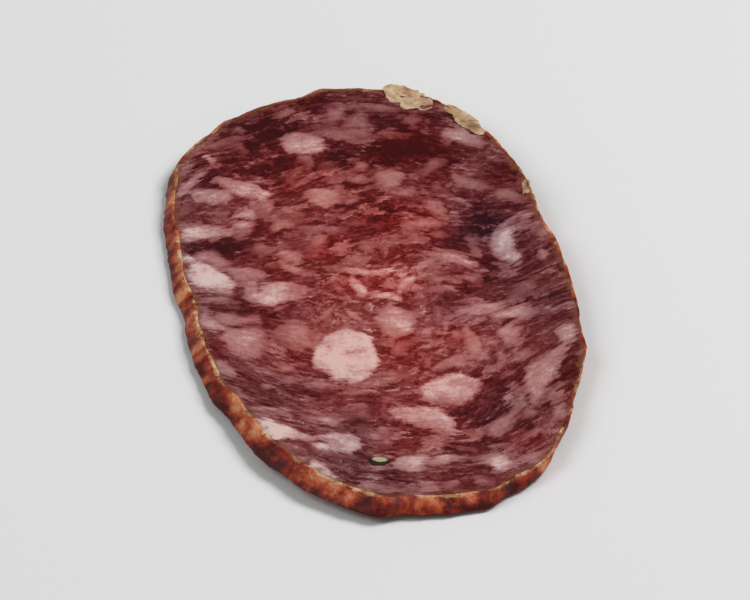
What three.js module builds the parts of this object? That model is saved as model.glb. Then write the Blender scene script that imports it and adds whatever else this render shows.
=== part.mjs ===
// One slice of a dry-cured sausage, cut on the bias, lying flat on its underside.
// Millimetres, +Z up. X runs across the slice and Y along it. The origin is under the middle of its box.
import * as THREE from "three";

// Driving dimensions
const CALIBRE = 52; // across the sausage, which is the oval's short way
const LENGTH = 94; // the oval's long way, made by the slant of the cut
const THICKNESS = 1.5;
const SLANT_TURN = 40; // degrees that the slant of the wall is turned from the long way
const FULLNESS = 1.02; // how far the flanks bulge past a true ellipse

// The wall of the slice keeps the sausage's own direction, so the underside is shifted from the top face.
const CUT_ANGLE = Math.asin(CALIBRE / LENGTH);
const SHIFT = THICKNESS / Math.tan(CUT_ANGLE);
const SHIFT_X = -SHIFT * Math.sin(THREE.MathUtils.degToRad(SLANT_TURN));
const SHIFT_Y = -SHIFT * Math.cos(THREE.MathUtils.degToRad(SLANT_TURN));
const HALF_WIDTH = ((CALIBRE + SHIFT_X) / 2) * FULLNESS;
const HALF_LENGTH = ((LENGTH + SHIFT_Y) / 2) * FULLNESS;

// Waves round the outline: how many in a turn, their share of the radius, and their phase in degrees
const OUTLINE_WAVES = [
  [2, 0.011, 170],
  [3, 0.015, 85],
  [4, 0.036, -172],
  [5, 0.008, -49],
  [7, 0.01, -93],
];

// Wrinkles of the dried rind, round the outline: how many in a turn, height, and phase in degrees
const RIND_WRINKLES = [
  [13, 0.14, 20],
  [22, 0.11, 150],
  [35, 0.06, 260],
];

// The rim dries first and curls off the surface, more in some places than in others.
const FLAT_SHARE = 0.56; // share of the radius that lies flat
const CURL_MEAN = 1.1;
const CURL_WAVES = [
  [1, 0.35, 50],
  [2, 0.4, 95],
  [3, 0.25, -30],
  [5, 0.1, 70],
];

// The knife leaves the top face uneven: wavelength, direction in degrees, height, and phase in degrees
const KNIFE_WAVES = [
  [31, 20, 0.07, 0],
  [19, 75, 0.06, 140],
  [12, 130, 0.04, 250],
];

// The largest lumps of fat stand a little proud of the lean, which shrinks as it dries.
// Each has its centre, its length and width, and the turn of its length from X in degrees.
const LUMP_HEIGHT = 0.16;
const FAT_LUMPS = [
  [-2.8, 36.2, 7.8, 4.0, -6],
  [-12.6, 27.2, 7.6, 4.0, -36],
  [-2.7, 23.7, 5.0, 3.6, 5],
  [-22.6, 12.0, 6.8, 2.8, -75],
  [-20.8, 7.6, 7.4, 5.2, -60],
  [-15.3, 7.4, 7.4, 3.2, -4],
  [-12.8, 3.1, 7.6, 5.2, -5],
  [-21.9, -3.4, 4.6, 4.0, 0],
  [-18.3, -7.3, 7.4, 4.8, 72],
  [-5.6, -12.2, 10.0, 8.6, 80],
  [21.5, 11.0, 5.0, 3.0, 42],
  [19.5, 6.3, 7.4, 3.2, 76],
  [18.4, -21.2, 9.6, 5.0, 46],
  [5.4, -23.4, 8.6, 5.2, 24],
  [1.1, -28.6, 10.2, 4.0, -40],
  [-18.0, -30.0, 6.6, 4.4, -38],
  [-14.2, -31.2, 7.8, 2.6, -20],
  [-13.2, -38.4, 5.0, 3.4, -52],
  [-2.2, -38.4, 5.0, 3.8, 20],
];

// Mesh: steps round the outline, and rings from the middle to the rim
const ROUND_STEPS = 128;
const TOP_RINGS = 18;
const FLAT_RINGS = 3;
const RISING_RINGS = 6;
const WALL_LEVELS = [0.12, 0.5, 0.88];
const EDGE_SHARE = 0.99; // share of the radius where the cut face turns into the wall

// The sum of cosine waves [count, height, phase in degrees] at an angle in radians.
function waves(list, angle) {
  let sum = 0;
  for (const [count, height, phase] of list) {
    sum += height * Math.cos(count * angle - THREE.MathUtils.degToRad(phase));
  }
  return sum;
}

// The outline's radius at an angle of the oval, as a share of the plain ellipse's.
function outline(angle) {
  const wrinkle = waves(RIND_WRINKLES, angle) / HALF_WIDTH;
  return 1 + waves(OUTLINE_WAVES, angle) + wrinkle;
}

// How far the slice curls off the surface at a place.
function curl(x, y) {
  const angle = Math.atan2(y / HALF_LENGTH, x / HALF_WIDTH);
  const share = Math.hypot(x / HALF_WIDTH, y / HALF_LENGTH) / (1 + waves(OUTLINE_WAVES, angle));
  const rise = THREE.MathUtils.smoothstep(share, FLAT_SHARE, 1);
  return rise * (CURL_MEAN + waves(CURL_WAVES, angle));
}

// The top face's relief at a place: the knife's waves and the lumps of fat.
function relief(x, y) {
  let height = 0;
  for (const [length, direction, swing, phase] of KNIFE_WAVES) {
    const turn = THREE.MathUtils.degToRad(direction);
    const along = x * Math.cos(turn) + y * Math.sin(turn);
    height += swing * Math.cos((2 * Math.PI * along) / length - THREE.MathUtils.degToRad(phase));
  }
  for (const [cx, cy, long, wide, turned] of FAT_LUMPS) {
    const turn = THREE.MathUtils.degToRad(turned);
    const u = ((x - cx) * Math.cos(turn) + (y - cy) * Math.sin(turn)) / (long / 2);
    const v = ((y - cy) * Math.cos(turn) - (x - cx) * Math.sin(turn)) / (wide / 2);
    height += LUMP_HEIGHT * Math.max(0, 1 - (u * u + v * v) / 2);
  }
  return height;
}

// The section from the middle of the underside, out round the wall and back to the middle of the top.
// Radius and height are shares, of the outline and of the thickness.
function section() {
  const points = [];
  for (let i = 0; i < FLAT_RINGS; i++) {
    points.push(new THREE.Vector2((FLAT_SHARE * i) / FLAT_RINGS, 0));
  }
  for (let i = 0; i < RISING_RINGS; i++) {
    const share = i / (RISING_RINGS - 1);
    points.push(new THREE.Vector2(THREE.MathUtils.lerp(FLAT_SHARE, EDGE_SHARE, share), 0));
  }
  for (const level of WALL_LEVELS) {
    points.push(new THREE.Vector2(1, level));
  }
  for (let i = TOP_RINGS; i >= 0; i--) {
    points.push(new THREE.Vector2((EDGE_SHARE * i) / TOP_RINGS, 1));
  }
  return points;
}

// The slice: the section turned to a unit disc, then drawn out to the oval and shaped.
function sliceGeometry() {
  const geometry = new THREE.LatheGeometry(section(), ROUND_STEPS);
  geometry.rotateX(Math.PI / 2);
  const position = geometry.getAttribute("position");
  for (let i = 0; i < position.count; i++) {
    const angle = Math.atan2(position.getY(i), position.getX(i));
    const level = position.getZ(i);
    const reach = outline(angle);
    const x = position.getX(i) * HALF_WIDTH * reach + SHIFT_X * (0.5 - level);
    const y = position.getY(i) * HALF_LENGTH * reach + SHIFT_Y * (0.5 - level);
    const z = level * (THICKNESS + relief(x, y)) + curl(x, y);
    position.setXYZ(i, x, y, z);
  }
  geometry.computeBoundingBox();
  const middle = geometry.boundingBox.getCenter(new THREE.Vector3());
  geometry.translate(-middle.x, -middle.y, -geometry.boundingBox.min.z);
  geometry.computeVertexNormals();
  return geometry;
}

const curedMeat = new THREE.MeshStandardMaterial({ color: 0x8c4f4b, roughness: 0.5, metalness: 0 });

const slice = new THREE.Mesh(sliceGeometry(), curedMeat);
slice.name = "sausage_slice";

const part = new THREE.Group();
part.add(slice);

export default part;
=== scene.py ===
"""A single slice of dry-cured sausage, cut on the bias, on a pale studio floor.

The slice is a marbled disc of meat and fat, with a thin dried casing round its slanted wall, torn shreds
of casing along its rim, and a cut peppercorn in its face. Shapes are worked out in millimetres, and turn
into metres only when a mesh's points are put in place.
"""

from __future__ import annotations

import logging
import math
from dataclasses import dataclass, field, replace

import bmesh
import bpy
import numpy as np
from mathutils import Matrix, Vector

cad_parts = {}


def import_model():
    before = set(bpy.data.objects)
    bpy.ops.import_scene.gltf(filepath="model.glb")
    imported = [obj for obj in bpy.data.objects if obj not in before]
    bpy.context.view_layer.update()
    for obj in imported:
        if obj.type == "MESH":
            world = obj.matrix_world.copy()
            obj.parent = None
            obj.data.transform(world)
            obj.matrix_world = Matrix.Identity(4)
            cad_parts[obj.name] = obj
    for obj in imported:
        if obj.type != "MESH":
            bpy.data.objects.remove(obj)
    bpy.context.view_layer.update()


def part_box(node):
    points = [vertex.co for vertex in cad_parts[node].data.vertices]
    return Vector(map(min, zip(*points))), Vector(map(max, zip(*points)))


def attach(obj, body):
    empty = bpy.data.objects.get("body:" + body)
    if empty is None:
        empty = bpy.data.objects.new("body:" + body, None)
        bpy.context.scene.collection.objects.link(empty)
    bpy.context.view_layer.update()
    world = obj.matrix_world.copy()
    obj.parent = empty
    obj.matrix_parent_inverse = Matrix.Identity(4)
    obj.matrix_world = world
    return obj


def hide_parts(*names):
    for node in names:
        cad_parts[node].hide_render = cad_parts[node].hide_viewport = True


LOG = logging.getLogger("sausage_slice")
NODE = "sausage_slice"
BODY = "root"
MM = 0.001
Waves = tuple[tuple[int, float, float], ...]


def linear(hex_colour: str) -> tuple[float, float, float, float]:
    """Turn an sRGB hex colour into the linear colour that the shaders take.

    Args:
        hex_colour: six hex digits, with or without a leading #.

    Returns:
        Red, green, blue and an alpha of 1.
    """
    digits = hex_colour.lstrip("#")
    channels = [int(digits[i : i + 2], 16) / 255 for i in (0, 2, 4)]
    low = [c / 12.92 if c <= 0.04045 else ((c + 0.055) / 1.055) ** 2.4 for c in channels]
    return (low[0], low[1], low[2], 1.0)


def smooth_step(value: np.ndarray, low: float, high: float) -> np.ndarray:
    """Return the smooth ramp from 0 at low to 1 at high."""
    share = np.clip((value - low) / (high - low), 0, 1)
    return share * share * (3 - 2 * share)


def wave_sum(waves: Waves, angle: np.ndarray) -> np.ndarray:
    """Add up the cosine waves of an outline.

    Args:
        waves: each wave's count in a turn, height, and phase in degrees.
        angle: angles in radians.

    Returns:
        The sum at each angle.
    """
    total = np.zeros_like(angle)
    for count, height, phase in waves:
        total += height * np.cos(count * angle - math.radians(phase))
    return total


@dataclass(frozen=True)
class Ripple:
    """Smooth seeded noise over a plane: a sum of sine waves in random directions, of about unit height."""

    wavelength: float
    seed: int
    terms: int = 14

    def at(self, x: np.ndarray, y: np.ndarray) -> np.ndarray:
        """Work out the noise at each place.

        Args:
            x: places in one direction, in the unit of the wavelength.
            y: places in the other.

        Returns:
            The noise, from about -1 to 1.
        """
        draw = np.random.default_rng(self.seed)
        total = np.zeros_like(x)
        for _ in range(self.terms):
            heading = draw.uniform(0, math.tau)
            pace = math.tau / (self.wavelength * draw.uniform(0.65, 1.5))
            phase = draw.uniform(0, math.tau)
            total += np.sin(pace * (x * math.cos(heading) + y * math.sin(heading)) + phase)
        return total * math.sqrt(2 / self.terms) * 0.7

    def value(self, x: float, y: float) -> float:
        """Return the noise at one place."""
        return float(self.at(np.array([x]), np.array([y]))[0])


@dataclass(frozen=True)
class SliceForm:
    """The slice's true form in millimetres, as the part's own source gives it."""

    calibre: float = 52.0
    length: float = 94.0
    thickness: float = 1.5
    slant_turn: float = 40.0
    fullness: float = 1.02
    flat_share: float = 0.56
    curl_mean: float = 1.1
    outline_waves: Waves = (
        (2, 0.011, 170),
        (3, 0.015, 85),
        (4, 0.036, -172),
        (5, 0.008, -49),
        (7, 0.01, -93),
    )
    rind_wrinkles: Waves = ((13, 0.14, 20), (22, 0.11, 150), (35, 0.06, 260))
    curl_waves: Waves = ((1, 0.35, 50), (2, 0.4, 95), (3, 0.25, -30), (5, 0.1, 70))
    knife_waves: tuple[tuple[float, float, float, float], ...] = (
        (31, 20, 0.07, 0),
        (19, 75, 0.06, 140),
        (12, 130, 0.04, 250),
    )

    @property
    def shift(self) -> tuple[float, float]:
        """How far the slant of the wall carries the underside from the top face, along X and Y."""
        reach = self.thickness / math.tan(math.asin(self.calibre / self.length))
        turn = math.radians(self.slant_turn)
        return -reach * math.sin(turn), -reach * math.cos(turn)

    @property
    def half_width(self) -> float:
        """Half of the oval's short way."""
        return (self.calibre + self.shift[0]) / 2 * self.fullness

    @property
    def half_length(self) -> float:
        """Half of the oval's long way."""
        return (self.length + self.shift[1]) / 2 * self.fullness

    def outline(self, angle: np.ndarray) -> np.ndarray:
        """Return the outline's radius at each angle, as a share of the plain ellipse's."""
        wrinkle = wave_sum(self.rind_wrinkles, angle) / self.half_width
        return 1 + wave_sum(self.outline_waves, angle) + wrinkle

    def share(self, x: np.ndarray, y: np.ndarray) -> np.ndarray:
        """Return how far out each place lies, from 0 in the middle to 1 at the rim."""
        angle = np.arctan2(y / self.half_length, x / self.half_width)
        plain = np.hypot(x / self.half_width, y / self.half_length)
        return plain / (1 + wave_sum(self.outline_waves, angle))

    def rim_distance(self, u: np.ndarray, v: np.ndarray) -> np.ndarray:
        """Return how far inside the rim each place of a unit disc lies once it is drawn out."""
        out = np.hypot(u, v)
        slope = np.hypot(u / self.half_width, v / self.half_length)
        return (1 - out) * out / np.maximum(slope, 1e-4)

    def curl(self, x: np.ndarray, y: np.ndarray) -> np.ndarray:
        """Return how far the dried rim curls off the surface at each place."""
        angle = np.arctan2(y / self.half_length, x / self.half_width)
        rise = smooth_step(self.share(x, y), self.flat_share, 1)
        return rise * (self.curl_mean + wave_sum(self.curl_waves, angle))

    def knife(self, x: np.ndarray, y: np.ndarray) -> np.ndarray:
        """Work out the long waves that the knife leaves in the top face.

        Args:
            x: places across the slice.
            y: places along it.

        Returns:
            The height at each place.
        """
        height = np.zeros_like(x)
        for length, direction, swing, phase in self.knife_waves:
            turn = math.radians(direction)
            along = x * math.cos(turn) + y * math.sin(turn)
            height += swing * np.cos(math.tau * along / length - math.radians(phase))
        return height

    def wall_normal(self, angle: np.ndarray) -> tuple[np.ndarray, np.ndarray]:
        """Find the outward direction across the outline.

        Args:
            angle: angles of the oval in radians.

        Returns:
            The direction's shares along X and Y at each angle.
        """
        nx = np.cos(angle) / self.half_width
        ny = np.sin(angle) / self.half_length
        size = np.hypot(nx, ny)
        return nx / size, ny / size

    def place(self, u: np.ndarray, v: np.ndarray, level: np.ndarray) -> tuple[np.ndarray, np.ndarray]:
        """Draw a unit disc out to the oval.

        Args:
            u: place across the disc.
            v: place along the disc.
            level: height as a share of the thickness.

        Returns:
            X and Y of each place.
        """
        reach = self.outline(np.arctan2(v, u))
        shift_x, shift_y = self.shift
        x = u * self.half_width * reach + shift_x * (0.5 - level)
        y = v * self.half_length * reach + shift_y * (0.5 - level)
        return x, y


@dataclass(frozen=True)
class ColourPatch:
    """A part of the cut face that is lighter or darker, redder, or greyer than what is around it; its grey
    is partly painted sheen.

    It has a centre and a radius in millimetres, and what it adds to the light, the red and the grey.
    """

    x: float
    y: float
    radius: float
    light: float
    red: float = 0.0
    grey: float = 0.0


@dataclass(frozen=True)
class FatLump:
    """One piece of minced back fat in the cut face.

    It has a centre, a length, a width, the turn of its length from X in degrees, a paleness, and a bend.
    """

    x: float
    y: float
    long: float
    wide: float
    turn: float
    pale: float = 0.5
    bend: float = 0.0


@dataclass
class Board:
    """A flat grid of cells over the slice, on which its marbling is worked out in millimetres."""

    half_width: float = 30.0
    half_length: float = 52.0
    cell: float = 0.15

    def __post_init__(self) -> None:
        """Lay out the cells."""
        self.left = np.arange(-self.half_width, self.half_width, self.cell)
        self.near = np.arange(-self.half_length, self.half_length, self.cell)
        self.x, self.y = np.meshgrid(self.left, self.near)

    def cells(self, x: np.ndarray, y: np.ndarray) -> tuple[np.ndarray, np.ndarray]:
        """Return the row and column of the cell nearest to each place."""
        column = np.clip(np.rint((x + self.half_width) / self.cell).astype(int), 0, self.x.shape[1] - 1)
        row = np.clip(np.rint((y + self.half_length) / self.cell).astype(int), 0, self.x.shape[0] - 1)
        return row, column

    def look_up(self, values: np.ndarray, x: np.ndarray, y: np.ndarray) -> np.ndarray:
        """Read a field at any place.

        Args:
            values: the field, one value for each cell.
            x: places across the slice.
            y: places along it.

        Returns:
            The field's value at each place, blended between the four nearest cells.
        """
        across = np.clip((x + self.half_width) / self.cell, 0, values.shape[1] - 1.001)
        along = np.clip((y + self.half_length) / self.cell, 0, values.shape[0] - 1.001)
        column, row = across.astype(int), along.astype(int)
        u, v = across - column, along - row
        near = values[row, column] * (1 - u) + values[row, column + 1] * u
        far = values[row + 1, column] * (1 - u) + values[row + 1, column + 1] * u
        return near * (1 - v) + far * v

    def noise(self, grain: float, seed: int) -> np.ndarray:
        """Make smooth noise.

        Args:
            grain: the size of its blots.
            seed: the seed of its draw.

        Returns:
            A field with a mean of 0 and a spread of 1.
        """
        drawn = np.random.default_rng(seed).standard_normal(self.x.shape)
        pace_x = np.fft.fftfreq(self.x.shape[1], self.cell)
        pace_y = np.fft.fftfreq(self.x.shape[0], self.cell)[:, None]
        kept = np.exp(-0.5 * (pace_x**2 + pace_y**2) * (math.pi * grain) ** 2)
        return self.even(np.fft.ifft2(np.fft.fft2(drawn) * kept).real)

    def smeared(self, values: np.ndarray, length: float, turn: np.ndarray) -> np.ndarray:
        """Draw a noise out along the strands of the mince.

        Args:
            values: the noise.
            length: how far it is drawn out.
            turn: the strands' direction in each cell, in radians.

        Returns:
            The drawn noise, with a mean of 0 and a spread of 1.
        """
        step = 2 * self.cell
        ahead_x, ahead_y = np.cos(turn), np.sin(turn)
        total = values.copy()
        for side in (1, -1):
            x, y = self.x.copy(), self.y.copy()
            move_x, move_y = side * ahead_x, side * ahead_y
            for _ in range(int(length / 2 / step)):
                x += step * move_x
                y += step * move_y
                place = self.cells(x, y)
                total += values[place]
                same_way = np.where(ahead_x[place] * move_x + ahead_y[place] * move_y < 0, -1, 1)
                move_x, move_y = ahead_x[place] * same_way, ahead_y[place] * same_way
        return self.even(total)

    def grown_along(self, ahead_x: np.ndarray, ahead_y: np.ndarray) -> np.ndarray:
        """Find the distance that grows along a direction field, as nearly as one number for each cell can.

        Args:
            ahead_x: the direction's share along X.
            ahead_y: the direction's share along Y.

        Returns:
            A smooth distance in millimetres.
        """
        mean_x, mean_y = ahead_x.mean(), ahead_y.mean()
        pace_x = 2j * math.pi * np.fft.fftfreq(self.x.shape[1], self.cell)
        pace_y = 2j * math.pi * np.fft.fftfreq(self.x.shape[0], self.cell)[:, None]
        spread = pace_x**2 + pace_y**2
        spread[0, 0] = 1
        slope = pace_x * np.fft.fft2(ahead_x - mean_x) + pace_y * np.fft.fft2(ahead_y - mean_y)
        return mean_x * self.x + mean_y * self.y + np.fft.ifft2(slope / spread).real

    @staticmethod
    def even(values: np.ndarray) -> np.ndarray:
        """Bring a field to a mean of 0 and a spread of 1."""
        return (values - values.mean()) / values.std()


@dataclass
class Marbling:
    """How lean and fat lie in the cut face.

    The pieces and tones that stand out are listed one by one, and the rest comes from seeds.
    """

    form: SliceForm
    board: Board = field(default_factory=Board)
    seed: int = 11

    # Millimetres of lean kept between two pieces of fat, and how much each large piece is drawn out
    gap: float = 0.12
    grow: float = 1.16

    # Millimetres outside a piece of fat past which its distance isn't measured
    far: float = 3.0
    large: tuple[FatLump, ...] = (
        FatLump(-2.9, 35.4, 6.6, 4.2, -6, 0.92),
        FatLump(2.8, 36.9, 5.4, 3, 8, 0.42),
        FatLump(5, 39.2, 3.4, 3, 60, 0.35),
        FatLump(2.4, 41.6, 3.4, 2.2, 80, 0.42),
        FatLump(-4.2, 42, 2.2, 1.8, 20, 0.3),
        FatLump(7.6, 41.6, 7, 1.8, -12, 0.4),
        FatLump(12.2, 38, 2.6, 2, 60, 0.35),
        FatLump(8.2, 36.4, 4.4, 1.4, -8, 0.25),
        FatLump(-13.7, 36.6, 3.6, 2.4, 10, 0.3),
        FatLump(-12.6, 34.6, 2.8, 1.4, -10, 0.3),
        FatLump(-10.9, 39, 3.2, 1.8, 70, 0.2),
        FatLump(-15.8, 32.9, 4, 1, -62, 0.95),
        FatLump(-18.1, 29, 5.8, 1.2, 48, 0.95),
        FatLump(18.4, 31.8, 5.6, 2.6, -72, 0.55),
        FatLump(-12.6, 27.2, 7.2, 3.8, -36, 0.88),
        FatLump(-16.8, 25.4, 4.2, 3.4, 20, 0.7),
        FatLump(-5.4, 28.8, 4.4, 1.3, 40, 0.3),
        FatLump(-3.4, 31.6, 3.4, 2.6, 75, 0.18),
        FatLump(2.7, 27.2, 3.6, 1.8, -5, 0.45),
        FatLump(6.9, 27, 4.4, 3, 75, 0.42),
        FatLump(12.9, 26.8, 3.2, 2.8, 40, 0.42),
        FatLump(17.4, 28.4, 3.2, 0.8, -50, 0.35),
        FatLump(-2.7, 23.7, 4.8, 3.4, 5, 0.72),
        FatLump(1, 22.3, 3.8, 1.5, 10, 0.4),
        FatLump(-10.8, 22.4, 5, 2.8, 80, 0.42),
        FatLump(-14, 21.2, 2.8, 2.4, 0, 0.7),
        FatLump(-19.6, 17.6, 6.8, 3.4, -4, 0.78),
        FatLump(-14.6, 17.9, 4.4, 2.8, 55, 0.65),
        FatLump(-8.6, 17.2, 4.2, 2.2, -62, 0.55),
        FatLump(-3.6, 15.9, 7.2, 1.9, -4, 0.3),
        FatLump(8.4, 23.3, 3.4, 1.8, -30, 0.3),
        FatLump(11.8, 19, 5, 2.6, -70, 0.45),
        FatLump(9.8, 14.8, 5.4, 2.8, -12, 0.45),
        FatLump(16.9, 22.6, 5.4, 1.9, -60, 0.45),
        FatLump(20.3, 17.8, 6.4, 2.2, -36, 0.5),
        FatLump(-22.6, 12, 6.6, 2.6, -75, 0.85),
        FatLump(-18.8, 11.4, 4.4, 2.8, -38, 0.35),
        FatLump(-20.8, 7.6, 7, 5, -60, 1.02),
        FatLump(-15.3, 7.4, 7, 3, -4, 0.66, 0.1),
        FatLump(-8.4, 11.8, 4.4, 2.6, -10, 0.4),
        FatLump(-4.9, 13, 3, 2, 70, 0.4),
        FatLump(-8.6, 8, 4.8, 2, -60, 0.5),
        FatLump(-12.8, 12.8, 4.2, 2.2, 0, 0.28),
        FatLump(1.6, 11.8, 3.4, 2.2, 70, 0.35),
        FatLump(-2.4, 6.6, 5.4, 1.8, -28, 0.3),
        FatLump(10.9, 6.6, 6.8, 2.2, -38, 0.72),
        FatLump(13.6, 3.8, 4.6, 1.7, -48, 0.5),
        FatLump(22, 11.2, 3.6, 2.2, 42, 0.7),
        FatLump(19.3, 7.2, 9.4, 2.9, 82, 0.96, -0.4),
        FatLump(15, 8.4, 4, 1.6, 80, 0.3),
        FatLump(-12.8, 3.1, 7.2, 4.6, -5, 0.85),
        FatLump(-20.6, 2, 4.2, 2.2, -10, 0.35),
        FatLump(-1.3, 2.6, 6, 1.7, 86, 0.9),
        FatLump(1.2, 5.9, 6.5, 1.8, -8, 0.88, 0.12),
        FatLump(4.9, 1.8, 4.6, 1.6, 72, 0.85, 0.12),
        FatLump(1.4, -0.9, 5.6, 1.8, -15, 0.88, -0.14),
        FatLump(7, 6, 4.4, 1.5, 30, 0.72, 0.2),
        FatLump(22.9, 3.4, 3.2, 1.8, 70, 0.35),
        FatLump(-21.9, -3.4, 4.4, 3.8, 0, 0.82),
        FatLump(-18.7, -2.7, 5.4, 3.4, -20, 0.52),
        FatLump(-18.3, -7.3, 7, 4.6, 72, 0.62),
        FatLump(-6.9, -2.5, 4.8, 1.4, 62, 0.3),
        FatLump(-2.6, -3.3, 6.2, 1.3, -62, 0.35),
        FatLump(-12, -7, 5.4, 3.8, -48, 0.45),
        FatLump(-5.8, -12.4, 10.2, 7.7, 78, 0.98),
        FatLump(-8.3, -16.8, 5.2, 3.8, 25, 0.6),
        FatLump(1.6, -6.4, 5.8, 4.4, 82, 0.45),
        FatLump(2.6, -12.8, 4.2, 2.4, 70, 0.4),
        FatLump(13.1, -4.6, 6.2, 3, 14, 0.62),
        FatLump(17.4, -7.2, 5.4, 3, -18, 0.66),
        FatLump(16.6, -11.9, 4.2, 2.6, 70, 0.6),
        FatLump(11.2, -13.2, 6.6, 2.6, 84, 0.58),
        FatLump(7.1, -6, 5.2, 1.3, -80, 0.3),
        FatLump(7.5, -17.8, 5.2, 3, 12, 0.5),
        FatLump(-1.2, -19.4, 3.4, 0.9, 0, 0.5),
        FatLump(5.6, -23.2, 8.2, 4.6, 24, 0.8),
        FatLump(18.4, -21, 9.8, 4, 48, 0.76),
        FatLump(23.2, -13.8, 4, 2.2, 70, 0.75),
        FatLump(-22.2, -14.6, 3.8, 2.6, -60, 0.75),
        FatLump(-21.6, -21.6, 5, 1.7, -70, 0.5),
        FatLump(-5.6, -21.6, 5.6, 1.3, -24, 0.42),
        FatLump(0, -23.2, 5.2, 0.8, -4, 0.32),
        FatLump(19.1, -3.1, 4.4, 2.8, 0, 0.28),
        FatLump(16.9, -17, 3.4, 1.6, 30, 0.3),
        FatLump(-14.4, -14.2, 2.2, 1.8, 0, 0.3),
        FatLump(-16.6, -24.2, 8.2, 1.2, -8, 0.5),
        FatLump(1.1, -28.4, 9.8, 3.8, -42, 0.9),
        FatLump(-17.2, -29.2, 9.6, 3.8, -30, 0.95),
        FatLump(-10.9, -32.4, 4.6, 3.9, -10, 0.95),
        FatLump(-15.6, -27.6, 8, 0.9, -22, 0.45),
        FatLump(-11.8, -26.2, 6.2, 1.7, -26, 0.42),
        FatLump(-13.2, -38.4, 4.8, 3.2, -52, 0.92),
        FatLump(-14.2, -35.6, 4.4, 0.9, -40, 0.4),
        FatLump(-2.2, -38.4, 4.8, 3.6, 20, 0.78),
        FatLump(1.8, -38.3, 5.2, 2.2, -4, 0.55),
        FatLump(7.9, -39.6, 5.2, 3.2, -20, 0.68),
        FatLump(10.9, -31.2, 5.2, 2.4, 62, 0.45),
        FatLump(13.6, -29.3, 4.4, 1.7, 36, 0.35),
        FatLump(14.7, -34.2, 4.4, 1.6, 48, 0.4),
        FatLump(18, -30, 4.6, 1.3, 58, 0.5),
        FatLump(-7.8, -43.4, 6.6, 1.6, -10, 0.45),
        FatLump(-3, -25.4, 4.2, 2.4, 80, 0.25),
    )
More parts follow.
